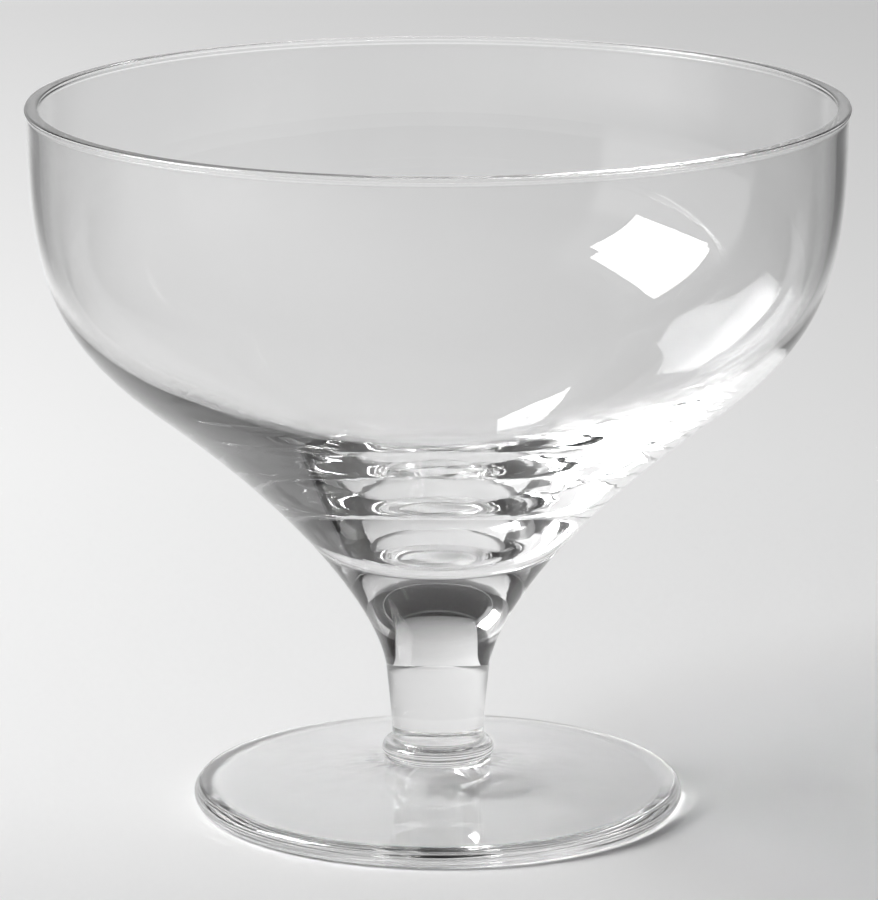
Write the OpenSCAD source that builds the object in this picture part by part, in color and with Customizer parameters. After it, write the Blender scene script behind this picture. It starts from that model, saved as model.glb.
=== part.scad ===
// Footed dessert bowl in clear crystal: a blown bowl on a short solid stem, with a round collar
// between the stem and a disc foot. The four pieces are fused face to face, all turned about +Z.
// Millimetres, origin on the axis at the level that the foot stands on.

/* [Foot] */
// Diameter of the foot over its rounded edge
foot_d = 69; // [54:0.5:90]
// Height of the rounded edge
foot_edge_h = 3; // [2:0.1:5]
// Climb of the foot's top from its edge to the collar, in degrees
foot_slope = 7.3; // [4:0.1:14]
// Width of the flat ring that the foot stands on
ring_w = 2; // [1:0.1:4]
// Height of the hollow underside at the middle
hollow_h = 3.1; // [1:0.1:4]
// Climb of the hollow as it leaves the ring, in degrees
hollow_slope = 6; // [1:0.1:9]

/* [Collar] */
// Height of the collar
collar_h = 2.55; // [1.6:0.05:5]
// How far the collar's round side stands out past its seat
collar_bulge = 0.9; // [0.3:0.05:2]

/* [Stem] */
// Diameter of the stem just above the collar
stem_low_d = 12.8; // [9:0.1:16]
// Diameter of the stem where the bowl joins it
stem_top_d = 14.5; // [10:0.1:18]
// Height of the stem from the collar to the bowl
stem_h = 10.5; // [6:0.1:40]
// Lean of the stem's side from upright just above the collar, in degrees
stem_lean = 1.9; // [0:0.1:4]
// Lean of the stem's side from upright where the bowl joins it, in degrees
neck_lean = 5.5; // [3:0.1:9]
// How far the stem spreads where it meets the collar
stem_flare = 0.6; // [0.2:0.05:1.5]

/* [Bowl outside] */
// Diameter of the rim over its lip
rim_d = 114; // [100:0.5:134]
// Height of the bowl from the stem to the rim
bowl_h = 80.6; // [70:0.2:110]
// Diameter where the outline turns from the hollow flank to the round shoulder
flank_d = 80; // [66:0.5:92]
// Height of that turn above the stem
flank_h = 38.6; // [33:0.2:46]
// Lean of the flank from upright at the turn, in degrees
flank_lean = 53; // [46:0.5:60]
// How long the outline keeps the stem's direction as it leaves the neck
neck_hold = 6.7; // [3:0.1:12]
// How long the outline keeps the flank's lean below the turn
flank_hold = 28.6; // [18:0.2:34]
// How long the outline keeps the flank's lean above the turn
shoulder_hold = 16.1; // [13:0.1:20]
// How long the outline keeps the wall's lean below the straight wall
wall_hold = 20; // [17:0.2:26]
// Height of the straight wall under the rim
wall_h = 4.6; // [3:0.1:10]
// Lean of the straight wall from upright, in degrees
wall_lean = 0.8; // [0:0.1:4]

/* [Bowl inside] */
// Height of the cup's floor above the stem, which is all solid glass
base_h = 19.2; // [14:0.1:24]
// Thickness of the glass at the turn of the outline
flank_t = 2.4; // [1.6:0.05:4]
// How much more the inside leans there than the outside, in degrees
wedge = 4.4; // [2:0.1:7]
// Thickness of the glass at the straight wall
wall_t = 1.65; // [1.2:0.05:3]
// Thickness of the lip
lip_t = 1.9; // [1.4:0.05:3.2]
// How far the lip stands out past the wall
lip_out = 0.25; // [0:0.01:0.6]
// Height of the lip, over which it stands out
lip_h = 1.2; // [0.8:0.1:2.8]
// Radius of the lip's two edges, with a flat top between them
lip_round = 0.35; // [0.1:0.05:0.6]
// How long the inside stays level as it leaves the middle of the floor
floor_hold = 12.4; // [6:0.2:18]
// How long the inside keeps its lean below the turn
well_hold = 30.2; // [22:0.2:32]
// How long the inside keeps its lean above the turn
cup_hold = 16.9; // [10:0.1:19]
// How long the inside keeps the wall's lean below the straight wall
cup_wall_hold = 18.5; // [8:0.1:22]

/* [Hidden] */

// Steps along each curve, and sides of each turned shape
curve_steps = 28;
round_steps = 14;
turn_sides = 120;

// Share of the hollow's radius over which it keeps its direction, at the ring and at the middle
hollow_share = 0.4;
crown_share = 0.12;

// Clear crystal
crystal = [0.90, 0.93, 0.93, 0.45];

// The foot's edge is a full round, and its top leaves that round as a straight slope
seat_r = stem_low_d / 2 + stem_flare;
edge_r = foot_edge_h / 2;
edge_mid_r = foot_d / 2 - edge_r;
slope_r = edge_mid_r + edge_r * sin(foot_slope);
slope_z = edge_r + edge_r * cos(foot_slope);
foot_h = slope_z + (slope_r - seat_r) * tan(foot_slope);
hollow_r = edge_mid_r - ring_w;

// Heights of the fused joints and of the rim
stem_z = foot_h + collar_h;
bowl_z = stem_z + stem_h;
rim_z = bowl_z + bowl_h;

// The stem curves from its waist to the neck, and the bowl leaves the neck in the same direction
waist = [stem_low_d / 2, stem_z + stem_flare];
neck = [stem_top_d / 2, bowl_z];
stem_hold = (stem_h - stem_flare) / 3;
turn = [flank_d / 2, bowl_z + flank_h];
wall_foot = [rim_d / 2 - lip_out - wall_h * tan(wall_lean), rim_z - wall_h];
wall_top = [rim_d / 2 - lip_out - lip_h * tan(wall_lean), rim_z - lip_h];

// The inside is set off from the outside by the glass between them
floor_mid = [0, bowl_z + base_h];
cup_lean = flank_lean + wedge;
cup_turn = turn + flank_t * [-cos(flank_lean), sin(flank_lean)];
cup_wall = wall_foot - [wall_t, 0];

// The lip is flat on top, with a small round on each edge
lip_outer = [rim_d / 2 - lip_round, rim_z - lip_round];
lip_inner = lip_outer - [lip_t - 2 * lip_round, 0];

// A point moved by a length along a direction that leans from upright
function along(point, lean, length) = point + length * [sin(lean), cos(lean)];

// Points of a cubic curve
function curve(a, b, c, d) =
    [for (i = [0 : curve_steps])
        let (t = i / curve_steps, s = 1 - t)
            s * s * s * a + 3 * s * s * t * b + 3 * s * t * t * c + t * t * t * d];

// Points of an arc about a middle point
function arc(middle, radius, from, to) =
    [for (i = [0 : round_steps])
        let (angle = from + (to - from) * i / round_steps)
            middle + radius * [cos(angle), sin(angle)]];

// A list without its first point
function tail(points) = [for (i = [1 : len(points) - 1]) points[i]];

// An outline of radius and height turned about +Z
module turned(outline) {
    rotate_extrude($fn = turn_sides)
        polygon(outline);
}

module bowl() {
    flank = curve(
        neck,
        along(neck, neck_lean, neck_hold),
        along(turn, flank_lean, -flank_hold),
        turn
    );
    shoulder = curve(
        turn,
        along(turn, flank_lean, shoulder_hold),
        along(wall_foot, wall_lean, -wall_hold),
        wall_foot
    );
    lip = concat(arc(lip_outer, lip_round, 0, 90), arc(lip_inner, lip_round, 90, 180));
    cup = curve(
        cup_wall,
        along(cup_wall, wall_lean, -cup_wall_hold),
        along(cup_turn, cup_lean, cup_hold),
        cup_turn
    );
    well = curve(
        cup_turn,
        along(cup_turn, cup_lean, -well_hold),
        floor_mid + [floor_hold, 0],
        floor_mid
    );
    color(crystal)
        turned(concat(flank, tail(shoulder), [wall_top], lip, cup, tail(well), [[0, bowl_z]]));
}

module stem() {
    flare = arc([seat_r, stem_z + stem_flare], stem_flare, 270, 180);
    side = curve(
        waist,
        along(waist, stem_lean, stem_hold),
        along(neck, neck_lean, -stem_hold),
        neck
    );
    color(crystal)
        turned(concat([[0, stem_z]], flare, tail(side), [[0, bowl_z]]));
}

module collar() {
    bead_r = seat_r + collar_bulge * 4 / 3;
    bead = curve([seat_r, foot_h], [bead_r, foot_h], [bead_r, stem_z], [seat_r, stem_z]);
    color(crystal)
        turned(concat([[0, foot_h]], bead, [[0, stem_z]]));
}

module foot() {
    ring = [hollow_r, 0];
    hollow = curve(
        [0, hollow_h],
        [crown_share * hollow_r, hollow_h],
        along(ring, hollow_slope - 90, hollow_share * hollow_r),
        ring
    );
    edge = arc([edge_mid_r, edge_r], edge_r, -90, 90 - foot_slope);
    color(crystal)
        turned(concat(hollow, edge, [[seat_r, foot_h], [0, foot_h]]));
}

bowl();
stem();
collar();
foot();
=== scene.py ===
import math

import bpy
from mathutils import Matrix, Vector


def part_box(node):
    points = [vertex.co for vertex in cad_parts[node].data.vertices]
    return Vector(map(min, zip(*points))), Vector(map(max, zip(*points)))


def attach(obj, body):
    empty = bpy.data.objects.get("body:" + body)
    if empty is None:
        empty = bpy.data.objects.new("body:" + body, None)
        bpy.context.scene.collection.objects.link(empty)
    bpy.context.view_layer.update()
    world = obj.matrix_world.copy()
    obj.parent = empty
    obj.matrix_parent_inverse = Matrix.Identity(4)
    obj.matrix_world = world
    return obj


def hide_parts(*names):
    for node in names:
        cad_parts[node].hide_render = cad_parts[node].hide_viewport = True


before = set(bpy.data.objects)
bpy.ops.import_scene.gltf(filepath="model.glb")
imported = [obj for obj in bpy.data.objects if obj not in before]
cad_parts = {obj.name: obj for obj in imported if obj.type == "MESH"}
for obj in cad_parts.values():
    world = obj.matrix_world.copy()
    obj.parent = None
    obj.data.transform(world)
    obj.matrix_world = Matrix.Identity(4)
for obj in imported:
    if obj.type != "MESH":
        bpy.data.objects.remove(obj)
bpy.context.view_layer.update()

MM = 0.001

# Sizes that the frame gives: the joints' heights, and each piece's widest radius


def widest(node):
    """A node's widest radius."""
    low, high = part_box(node)
    return max(high[0], high[1])


def top(node):
    """The height of a node's top."""
    low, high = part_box(node)
    return high[2]


foot_r = widest("foot")
foot_z = top("foot")
stem_z = top("collar")
bowl_z = top("stem")
rim_r = widest("bowl")
rim_z = top("bowl")

# Foot
foot_edge_h = 3 * MM
foot_slope = math.radians(7.3)
ring_w = 2 * MM
hollow_h = 3.1 * MM
hollow_slope = math.radians(6)
hollow_share = 0.4
crown_share = 0.12

# Stem and collar
stem_low_r = 6.4 * MM
stem_top_r = 7.25 * MM
stem_lean = math.radians(1.9)
neck_lean = math.radians(5.5)
stem_flare = 0.6 * MM
collar_bulge = 0.9 * MM
seat_r = stem_low_r + stem_flare

# Bowl, outside: the outline turns from the hollow flank to the round shoulder
flank_r = 40 * MM
flank_h = 38.6 * MM
flank_lean = math.radians(53)
neck_hold = 6.7 * MM
flank_hold = 28.6 * MM
shoulder_hold = 16.1 * MM
wall_hold = 20 * MM
wall_h = 4.6 * MM
wall_lean = math.radians(0.8)

# Bowl, inside: the glass gets thicker from the rim to a solid base
base_h = 19.2 * MM
flank_t = 2.4 * MM
wedge = math.radians(4.4)
wall_t = 1.65 * MM
lip_t = 1.9 * MM
lip_out = 0.25 * MM
lip_h = 1.2 * MM
lip_round = 0.35 * MM
floor_hold = 12.4 * MM
well_hold = 30.2 * MM
cup_hold = 16.9 * MM
cup_wall_hold = 18.5 * MM

# How finely the pieces are turned
TURN_STEPS = 288
CURVE_STEPS = 60
LIP_STEPS = 12
EDGE_STEPS = 28
DISC_STEPS = 6
MERGE = 0.0005 * MM
SHARP = math.radians(40)
# A face counts as level when its normal is this close to upright
LEVEL = 0.99
# A cubic's two middle points stand out this much further than its bulge
BULGE_HOLD = 4 / 3

# Outlines, as radius and height


def along(point, lean, length):
    """A point moved by a length along a direction that leans from upright."""
    return (point[0] + length * math.sin(lean), point[1] + length * math.cos(lean))


def curve(a, b, c, d, steps=CURVE_STEPS):
    """Points of a cubic curve."""
    points = []
    for i in range(steps + 1):
        t = i / steps
        s = 1 - t
        weights = (s * s * s, 3 * s * s * t, 3 * s * t * t, t * t * t)
        points.append(tuple(sum(w * p[k] for w, p in zip(weights, (a, b, c, d))) for k in (0, 1)))
    return points


def arc(middle, radius, start, end, steps):
    """Points of an arc, by its angles in degrees."""
    angles = [math.radians(start + (end - start) * i / steps) for i in range(steps + 1)]
    return [(middle[0] + radius * math.cos(a), middle[1] + radius * math.sin(a)) for a in angles]


def line(a, b, steps=DISC_STEPS):
    """Points of a straight stretch."""
    return [tuple(p + (q - p) * i / steps for p, q in zip(a, b)) for i in range(steps + 1)]


def joined(*stretches):
    """One outline from stretches that meet end to end."""
    points = list(stretches[0])
    for stretch in stretches[1:]:
        points += stretch[1:] if math.dist(points[-1], stretch[0]) < MERGE else stretch
    return points


def bowl_outline():
    neck = (stem_top_r, bowl_z)
    turn = (flank_r, bowl_z + flank_h)
    wall_foot = (rim_r - lip_out - wall_h * math.tan(wall_lean), rim_z - wall_h)
    cup_turn = along(turn, flank_lean - math.pi / 2, flank_t)
    cup_lean = flank_lean + wedge
    cup_wall = (wall_foot[0] - wall_t, wall_foot[1])
    floor_mid = (0, bowl_z + base_h)
    wall_top = (rim_r - lip_out - lip_h * math.tan(wall_lean), rim_z - lip_h)
    lip_outer = (rim_r - lip_round, rim_z - lip_round)
    lip_inner = (rim_r - lip_t + lip_round, rim_z - lip_round)
    flank = curve(
        neck,
        along(neck, neck_lean, neck_hold),
        along(turn, flank_lean, -flank_hold),
        turn,
    )
    shoulder = curve(
        turn,
        along(turn, flank_lean, shoulder_hold),
        along(wall_foot, wall_lean, -wall_hold),
        wall_foot,
    )
    lip = joined(
        arc(lip_outer, lip_round, 0, 90, LIP_STEPS),
        line((lip_outer[0], rim_z), (lip_inner[0], rim_z)),
        arc(lip_inner, lip_round, 90, 180, LIP_STEPS),
    )
    lip_hold = (lip_h - lip_round) / 2
    spread = curve(
        wall_top,
        along(wall_top, wall_lean, lip_hold),
        (lip[0][0], lip[0][1] - lip_hold),
        lip[0],
        LIP_STEPS,
    )
    inner_wall = line(lip[-1], cup_wall)
    cup = curve(
        cup_wall,
        along(cup_wall, wall_lean, -cup_wall_hold),
        along(cup_turn, cup_lean, cup_hold),
        cup_turn,
    )
    well = curve(
        cup_turn,
        along(cup_turn, cup_lean, -well_hold),
        (floor_hold, floor_mid[1]),
        floor_mid,
    )
    base = line((0, bowl_z), neck)
    return joined(base, flank, shoulder, line(wall_foot, wall_top), spread, lip, inner_wall, cup, well)


def stem_outline():
    flare = arc((seat_r, stem_z + stem_flare), stem_flare, 270, 180, LIP_STEPS)
    waist = flare[-1]
    neck = (stem_top_r, bowl_z)
    hold = (neck[1] - waist[1]) / 3
    side = curve(waist, along(waist, stem_lean, hold), along(neck, neck_lean, -hold), neck)
    return joined(line((0, stem_z), (seat_r, stem_z)), flare, side, line(neck, (0, bowl_z)))


def collar_outline():
    bead_r = seat_r + collar_bulge * BULGE_HOLD
    bead = curve((seat_r, foot_z), (bead_r, foot_z), (bead_r, stem_z), (seat_r, stem_z))
    return joined(line((0, foot_z), bead[0]), bead, line(bead[-1], (0, stem_z)))


def foot_outline():
    edge_r = foot_edge_h / 2
    middle = (foot_r - edge_r, edge_r)
    edge = arc(middle, edge_r, -90, 90 - math.degrees(foot_slope), EDGE_STEPS)
    ring = (middle[0] - ring_w, 0)
    hollow = curve(
        (0, hollow_h),
        (crown_share * ring[0], hollow_h),
        along(ring, hollow_slope - math.pi / 2, hollow_share * ring[0]),
        ring,
    )
    slope = line(edge[-1], (seat_r, foot_z), CURVE_STEPS)
    return joined(hollow, line(ring, edge[0]), edge, slope, line(slope[-1], (0, foot_z)))


# Pieces


def turned(name, outline):
    """A closed piece spun about the upright axis from an outline that starts and ends on it."""
    bpy.ops.object.select_all(action="DESELECT")
    bpy.ops.mesh.primitive_plane_add(size=MM)
    piece = bpy.context.object
    piece.name = piece.data.name = name
    bpy.ops.object.mode_set(mode="EDIT")
    bpy.ops.mesh.merge(type="CENTER")
    bpy.ops.transform.translate(value=(outline[0][0], 0, outline[0][1]))
    for (r0, z0), (r1, z1) in zip(outline, outline[1:]):
        move = {"value": (r1 - r0, 0, z1 - z0)}
        bpy.ops.mesh.extrude_region_move(TRANSFORM_OT_translate=move)
    bpy.ops.mesh.select_all(action="SELECT")
    bpy.ops.mesh.spin(steps=TURN_STEPS, angle=2 * math.pi, center=(0, 0, 0), axis=(0, 0, 1))
    bpy.ops.mesh.select_all(action="SELECT")
    bpy.ops.mesh.remove_doubles(threshold=MERGE)
    bpy.ops.mesh.normals_make_consistent(inside=False)
    bpy.ops.object.mode_set(mode="OBJECT")
    bpy.ops.object.shade_smooth_by_angle(angle=SHARP)
    return piece


def fuse(piece, heights):
    """Gives the flat faces at the fused joints the clear joint material."""
    for face in piece.data.polygons:
        for z in heights:
            if abs(face.center.z - z) < MERGE and abs(face.normal.z) > LEVEL:
                face.material_index = 1


# Materials


def linear(hex_colour):
    """A linear colour from an sRGB hex value."""
    channels = [int(hex_colour[i:i + 2], 16) / 255 for i in (1, 3, 5)]
    return tuple(c / 12.92 if c <= 0.04045 else ((c + 0.055) / 1.055) ** 2.4 for c in channels) + (1,)


def add(tree, kind, settings=None, **links):
    """A node with its settings, and links from other nodes' sockets to its inputs."""
    node = tree.nodes.new(kind)
    for key, value in (settings or {}).items():
        if isinstance(key, int) or key in node.inputs:
            node.inputs[key].default_value = value
        else:
            setattr(node, key, value)
    for key, socket in links.items():
        name = key.replace("_", " ")
        tree.links.new(socket, node.inputs[name if name in node.inputs else int(key[1:])])
    return node


def ramp(tree, stops, socket):
    """A colour ramp of grey levels over a socket's values."""
    low = stops[0][0]
    high = stops[-1][0]
    span = add(tree, "ShaderNodeMapRange", {"From Min": low, "From Max": high}, Value=socket)
    made = add(tree, "ShaderNodeValToRGB", Fac=span.outputs["Result"])
    elements = made.color_ramp.elements
    elements.remove(elements[1])
    for i, (at, level) in enumerate(stops):
        place = (at - low) / (high - low)
        stop = elements.new(place) if i else elements[0]
        stop.position = place
        stop.color = (level, level, level, 1)
    return made.outputs["Color"]


def product(tree, first, second):
    """Two sockets' values multiplied."""
    return add(tree, "ShaderNodeMath", {"operation": "MULTIPLY"}, i0=first, i1=second).outputs[0]


def scaled(tree, vector, scale):
    """A socket's colour or vector times a value."""
    return add(tree, "ShaderNodeVectorMath", {"operation": "SCALE"}, i0=vector, Scale=scale).outputs[0]


def step(tree, limits, socket):
    """A smooth step from 0 to 1 between two values of a socket."""
    settings = {"interpolation_type": "SMOOTHSTEP", "From Min": limits[0], "From Max": limits[1]}
    return add(tree, "ShaderNodeMapRange", settings, Value=socket).outputs["Result"]


def sloped(tree, factor, socket, start=None):
    """A socket's value times a factor, added to another socket's value, or to 1."""
    settings = {"operation": "MULTIPLY_ADD", 1: factor, 2: 1}
    links = {"i2": start} if start else {}
    return add(tree, "ShaderNodeMath", settings, i0=socket, **links).outputs[0]


def material(name):
    """A new material with its node tree and its shader."""
    made = bpy.data.materials.new(name)
    made.use_nodes = True
    return made, made.node_tree, made.node_tree.nodes["Principled BSDF"]


# Waves that blowing and turning leave in the thick glass: how far apart, how many about the axis, how high
WAVES = ((4 * MM, 4, 0.008 * MM), (1.5 * MM, 8, 0.001 * MM))
# Their strength by height: strong on the flanks, slight on the stem and the foot, none on the thin wall
WAVES_BY_HEIGHT = (
    (0, 1.2),
    (6 * MM, 1.2),
    (9 * MM, 0.2),
    (20 * MM, 0.2),
    (28 * MM, 0.5),
    (42 * MM, 0.5),
    (48 * MM, 2),
    (60 * MM, 2),
    (68 * MM, 0),
)


CRYSTAL = "#FAFAFA"
CRYSTAL_IOR = 1.52


def fire_polished_crystal():
    """Clear crystal, blown and fire-polished: colourless, sharp gloss, faint turning waves."""
    made, tree, shader = material("fire_polished_crystal")
    place = add(tree, "ShaderNodeTexCoord").outputs["Object"]
    split = add(tree, "ShaderNodeSeparateXYZ", Vector=place)
    flat = add(tree, "ShaderNodeVectorMath", {"operation": "MULTIPLY", 1: (1, 1, 0)}, i0=place)
    radius = add(tree, "ShaderNodeVectorMath", {"operation": "LENGTH"}, i0=flat.outputs[0])
    unit = add(tree, "ShaderNodeVectorMath", {"operation": "NORMALIZE"}, i0=flat.outputs[0])
    run = add(
        tree, "ShaderNodeMath", {"operation": "ADD"}, i0=radius.outputs["Value"], i1=split.outputs["Z"]
    )
    height = None
    for length, turns, rise in WAVES:
        count = add(tree, "ShaderNodeMath", {"operation": "DIVIDE", 1: length}, i0=run.outputs[0])
        upward = add(tree, "ShaderNodeCombineXYZ", Z=count.outputs[0])
        at = add(
            tree,
            "ShaderNodeVectorMath",
            {"operation": "MULTIPLY_ADD", 1: (turns, turns, turns)},
            i0=unit.outputs[0],
            i2=upward.outputs[0],
        )
        noise = add(tree, "ShaderNodeTexNoise", {"Scale": 1, "Detail": 1}, Vector=at.outputs[0])
        settings = {"operation": "MULTIPLY_ADD", 1: rise, 2: 0}
        wave = add(tree, "ShaderNodeMath", settings, i0=noise.outputs["Fac"])
        if height:
            tree.links.new(height, wave.inputs[2])
        height = wave.outputs[0]
    strength = ramp(tree, WAVES_BY_HEIGHT, split.outputs["Z"])
    waves = product(tree, height, strength)
    bump = add(tree, "ShaderNodeBump", {"Strength": 1, "Distance": 1}, Height=waves)
    tree.links.new(bump.outputs["Normal"], shader.inputs["Normal"])
    shader.inputs["Base Color"].default_value = linear(CRYSTAL)
    shader.inputs["Transmission Weight"].default_value = 1
    shader.inputs["Roughness"].default_value = 0
    shader.inputs["IOR"].default_value = CRYSTAL_IOR
    return made


def fused_joint():
    """Where two gathers of hot crystal run together: one glass, so nothing is seen."""
    made, tree, shader = material("fused_crystal_joint")
    shader.inputs["Base Color"].default_value = linear("#FFFFFF")
    shader.inputs["Alpha"].default_value = 0
    return made


crystal = fire_polished_crystal()
joint = fused_joint()

for name, outline, joints in (
    ("bowl", bowl_outline(), [bowl_z]),
    ("stem", stem_outline(), [stem_z, bowl_z]),
    ("collar", collar_outline(), [foot_z, stem_z]),
    ("foot", foot_outline(), [foot_z]),
):
    piece = turned("crystal_" + name, outline)
    piece.data.materials.append(crystal)
    piece.data.materials.append(joint)
    fuse(piece, joints)
    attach(piece, "root")
    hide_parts(name)

# Camera

CAMERA_AT = (0.00016, -0.805, 0.2407)
CAMERA_DOWN = math.radians(13.28)
LENS_MM = 236.6
SENSOR_MM = 36
CLIP_START = 0.01

bpy.ops.object.camera_add(location=CAMERA_AT, rotation=(math.pi / 2 - CAMERA_DOWN, 0, 0))
camera = bpy.context.object
camera.data.lens = LENS_MM
camera.data.sensor_width = SENSOR_MM
camera.data.clip_start = CLIP_START
bpy.context.scene.camera = camera

# Stage

FLOOR_SIZE = 8
FLOOR_DROP = 0.05 * MM
# Painted shade: the paper darkens to grey on both sides of a lane that widens behind the bowl, in metres.
# Its sides keep a share of their brightness by depth: all of it in front of the bowl, and less behind
LANE = (0.07, 0.2)
LANE_SLANT = 0.13
SIDE_SHADES = ((-0.15, 1), (0.1, 0.3))
# Painted shade: the paper's colour by depth, darker just in front of the bowl
PAINTED_SHADE_BY_DEPTH = ((-0.3, 0.8), (-0.12, 0.62), (-0.045, 0.73), (0, 0.79), (0.03, 0.8))
# Painted light: the paper glows by itself in place of light from the room, by depth behind the bowl in
# metres, and the glow's fall to the right
GLOW = (
    (-1.5, 0.5),
    (-0.6, 0.4),
    (-0.3, 0.2),
    (-0.12, 0.04),
    (-0.05, 0.05),
    (0.08, 0.12),
    (0.2, 0.18),
    (0.45, 0.22),
    (0.72, 0.26),
    (0.9, 0.6),
    (2, 0.74),
)
GLOW_FALL = 1.2
GLOW_LEAST = 0.8
GLOW_MOST = 1.2
PAPER_ROUGHNESS = 0.8
PAPER_SPECULAR = 0.1


def matt_paper():
    """White matt paper with painted shade at its sides and in front of the bowl, and a painted glow for
    room light.
    """
    made, tree, shader = material("matt_paper")
    place = add(tree, "ShaderNodeTexCoord")
    split = add(tree, "ShaderNodeSeparateXYZ", Vector=place.outputs["Object"])
    deep = split.outputs["Y"]
    behind = add(tree, "ShaderNodeMath", {"operation": "MAXIMUM", 1: 0}, i0=deep)
    aside = add(tree, "ShaderNodeMath", {"operation": "ABSOLUTE"}, i0=split.outputs["X"])
    # Painted shade: a mask for the grey sides of the lane
    lane = sloped(tree, -LANE_SLANT, behind.outputs[0], aside.outputs[0])
    side = step(tree, LANE, lane)
    shade = add(tree, "ShaderNodeMix", {2: 1}, Factor=side, i3=ramp(tree, SIDE_SHADES, deep)).outputs[0]
    # Painted shade: the paper's colour, darkened by depth and on the grey sides of the lane
    tree.links.new(scaled(tree, ramp(tree, PAINTED_SHADE_BY_DEPTH, deep), shade), shader.inputs["Base Color"])
    # The camera, the gloss and the glass see the same painted glow on it
    path = add(tree, "ShaderNodeLightPath").outputs
    seen = path["Is Camera Ray"]
    for ray in ("Is Glossy Ray", "Is Transmission Ray"):
        seen = add(tree, "ShaderNodeMath", {"operation": "MAXIMUM"}, i0=seen, i1=path[ray]).outputs[0]
    # Painted light: the glow, brighter to the left and weaker on the painted-shade sides
    fall = sloped(tree, -GLOW_FALL, split.outputs["X"])
    even = add(tree, "ShaderNodeClamp", {"Min": GLOW_LEAST, "Max": GLOW_MOST}, Value=fall)
    glow = product(tree, product(tree, even.outputs["Result"], shade), seen)
    tree.links.new(ramp(tree, GLOW, deep), shader.inputs["Emission Color"])
    tree.links.new(glow, shader.inputs["Emission Strength"])
    shader.inputs["Roughness"].default_value = PAPER_ROUGHNESS
    shader.inputs["Specular IOR Level"].default_value = PAPER_SPECULAR
    return made


bpy.ops.mesh.primitive_plane_add(size=FLOOR_SIZE, location=(0, 0, -FLOOR_DROP))
floor = bpy.context.object
floor.name = "floor"
floor.data.materials.append(matt_paper())

# Light


def softbox(name, azimuth, elevation, distance, width, height, watts):
    """A soft rectangular lamp, by its direction from the bowl in degrees, azimuth 0 straight behind it."""
    lamp = bpy.data.lights.new(name, "AREA")
    lamp.shape = "RECTANGLE"
    lamp.size = width
    lamp.size_y = height
    lamp.energy = watts
    holder = bpy.data.objects.new(name, lamp)
    bpy.context.scene.collection.objects.link(holder)
    a = math.radians(azimuth)
    e = math.radians(elevation)
    outward = Vector((math.sin(a) * math.cos(e), math.cos(a) * math.cos(e), math.sin(e)))
    holder.location = Vector((0, 0, rim_z / 2)) + distance * outward
    holder.rotation_euler = outward.to_track_quat("Z", "Y").to_euler()


softbox("key_softbox", azimuth=-95, elevation=36.5, distance=1, width=0.54, height=0.425, watts=12.8)

# The backdrop behind the bowl, in degrees: its brightness and its half width upwards
BACKDROP = ((-10, 0.8), (2, 0.77), (7, 0.7), (12, 0.67), (20, 0.54), (28, 0.42), (36.5, 0.2), (37.5, 0))
BACKDROP_WIDTHS = ((0, 46), (4, 42), (9, 38), (18, 34.5), (28, 31.5), (40, 29))
BACKDROP_EDGE = (0.5, -0.5)
BACKDROP_ARCH = 0.006
BACKDROP_MIDDLE = 2
BACKDROP_FALL = 0.006
# The rest of the room, in degrees: a bright left wall, darker upwards, and a dim right wall
LEFT_WALL = (
    (-180, 0.15),
    (-160, 0.2),
    (-131, 0.26),
    (-128, 1.2),
    (-72, 1.2),
    (-70, 0.07),
    (-30, 0.07),
    (0, 0),
)
LEFT_HEIGHTS = ((-10, 1), (22, 1), (26, 0.45), (54, 0.4), (56, 0))
RIGHT_WALL = ((66, 0), (72, 0.22), (125, 0.22), (160, 0.1), (180, 0.15))
RIGHT_HEIGHTS = ((-10, 0.45), (20, 0.4), (34, 0))


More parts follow.
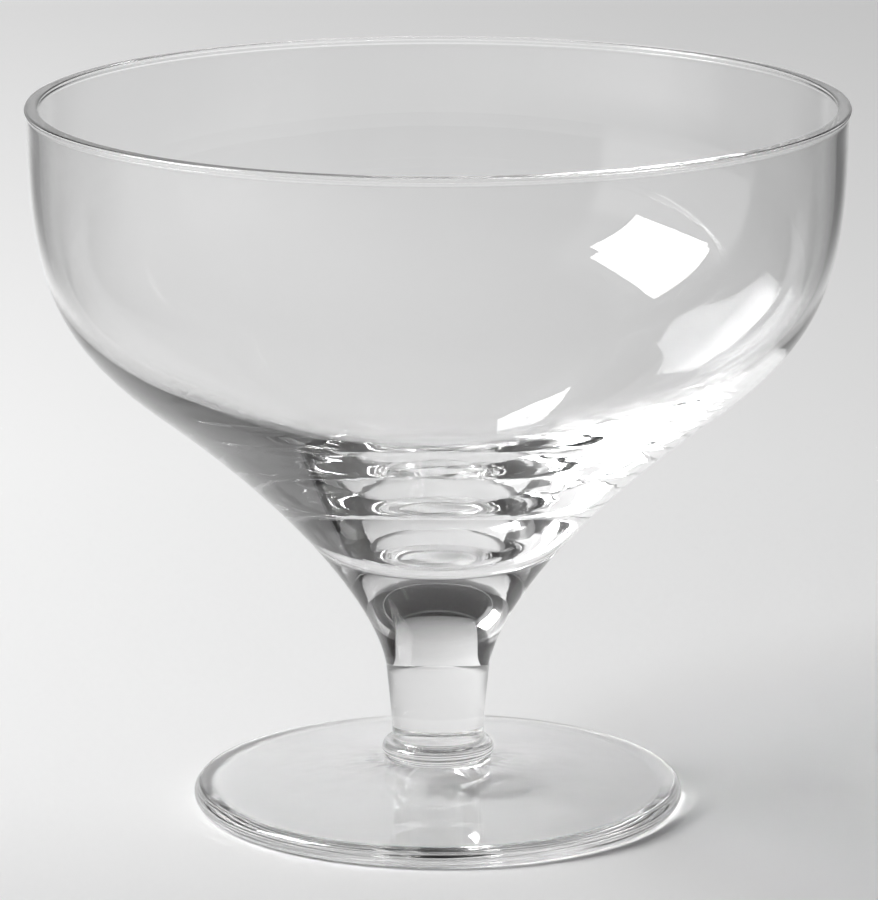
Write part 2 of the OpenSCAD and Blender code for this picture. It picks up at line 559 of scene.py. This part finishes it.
def studio():
    """A dark room with a bright left wall, a dim right wall and a pale backdrop."""
    world = bpy.data.worlds.new("studio")
    bpy.context.scene.world = world
    world.use_nodes = True
    tree = world.node_tree
    way = add(tree, "ShaderNodeTexCoord")
    split = add(tree, "ShaderNodeSeparateXYZ", Vector=way.outputs["Generated"])
    turn = add(
        tree, "ShaderNodeMath", {"operation": "ARCTAN2"}, i0=split.outputs["X"], i1=split.outputs["Y"]
    )
    turn = add(tree, "ShaderNodeMath", {"operation": "DEGREES"}, i0=turn.outputs[0]).outputs[0]
    rise = add(tree, "ShaderNodeMath", {"operation": "ARCSINE"}, i0=split.outputs["Z"])
    rise = add(tree, "ShaderNodeMath", {"operation": "DEGREES"}, i0=rise.outputs[0]).outputs[0]
    arch = sloped(tree, -BACKDROP_ARCH, product(tree, turn, turn), rise)
    aside = add(tree, "ShaderNodeMath", {"operation": "SUBTRACT", 1: BACKDROP_MIDDLE}, i0=turn)
    width = add(tree, "ShaderNodeMath", {"operation": "ABSOLUTE"}, i0=aside.outputs[0])
    edge = add(
        tree,
        "ShaderNodeMath",
        {"operation": "SUBTRACT"},
        i0=width.outputs[0],
        i1=ramp(tree, BACKDROP_WIDTHS, rise),
    )
    fall = sloped(tree, -BACKDROP_FALL, turn)
    lit = product(tree, step(tree, BACKDROP_EDGE, edge.outputs[0]), fall)
    room = scaled(tree, ramp(tree, BACKDROP, arch), lit)
    for walls, heights in ((LEFT_WALL, LEFT_HEIGHTS), (RIGHT_WALL, RIGHT_HEIGHTS)):
        room = add(
            tree,
            "ShaderNodeVectorMath",
            {"operation": "MULTIPLY_ADD"},
            i0=ramp(tree, walls, turn),
            i1=ramp(tree, heights, rise),
            i2=room,
        ).outputs[0]
    tree.links.new(room, tree.nodes["Background"].inputs["Color"])


studio()

scene = bpy.context.scene
scene.view_settings.view_transform = "Standard"
# Light crosses and bounces inside the crystal many times before it leaves
BOUNCES = 40
scene.cycles.max_bounces = BOUNCES
scene.cycles.glossy_bounces = BOUNCES
scene.cycles.transmission_bounces = BOUNCES
scene.cycles.transparent_max_bounces = BOUNCES
# The light that the crystal gathers on the paper stays sharp and whole
scene.cycles.blur_glossy = 0
scene.cycles.sample_clamp_indirect = 0
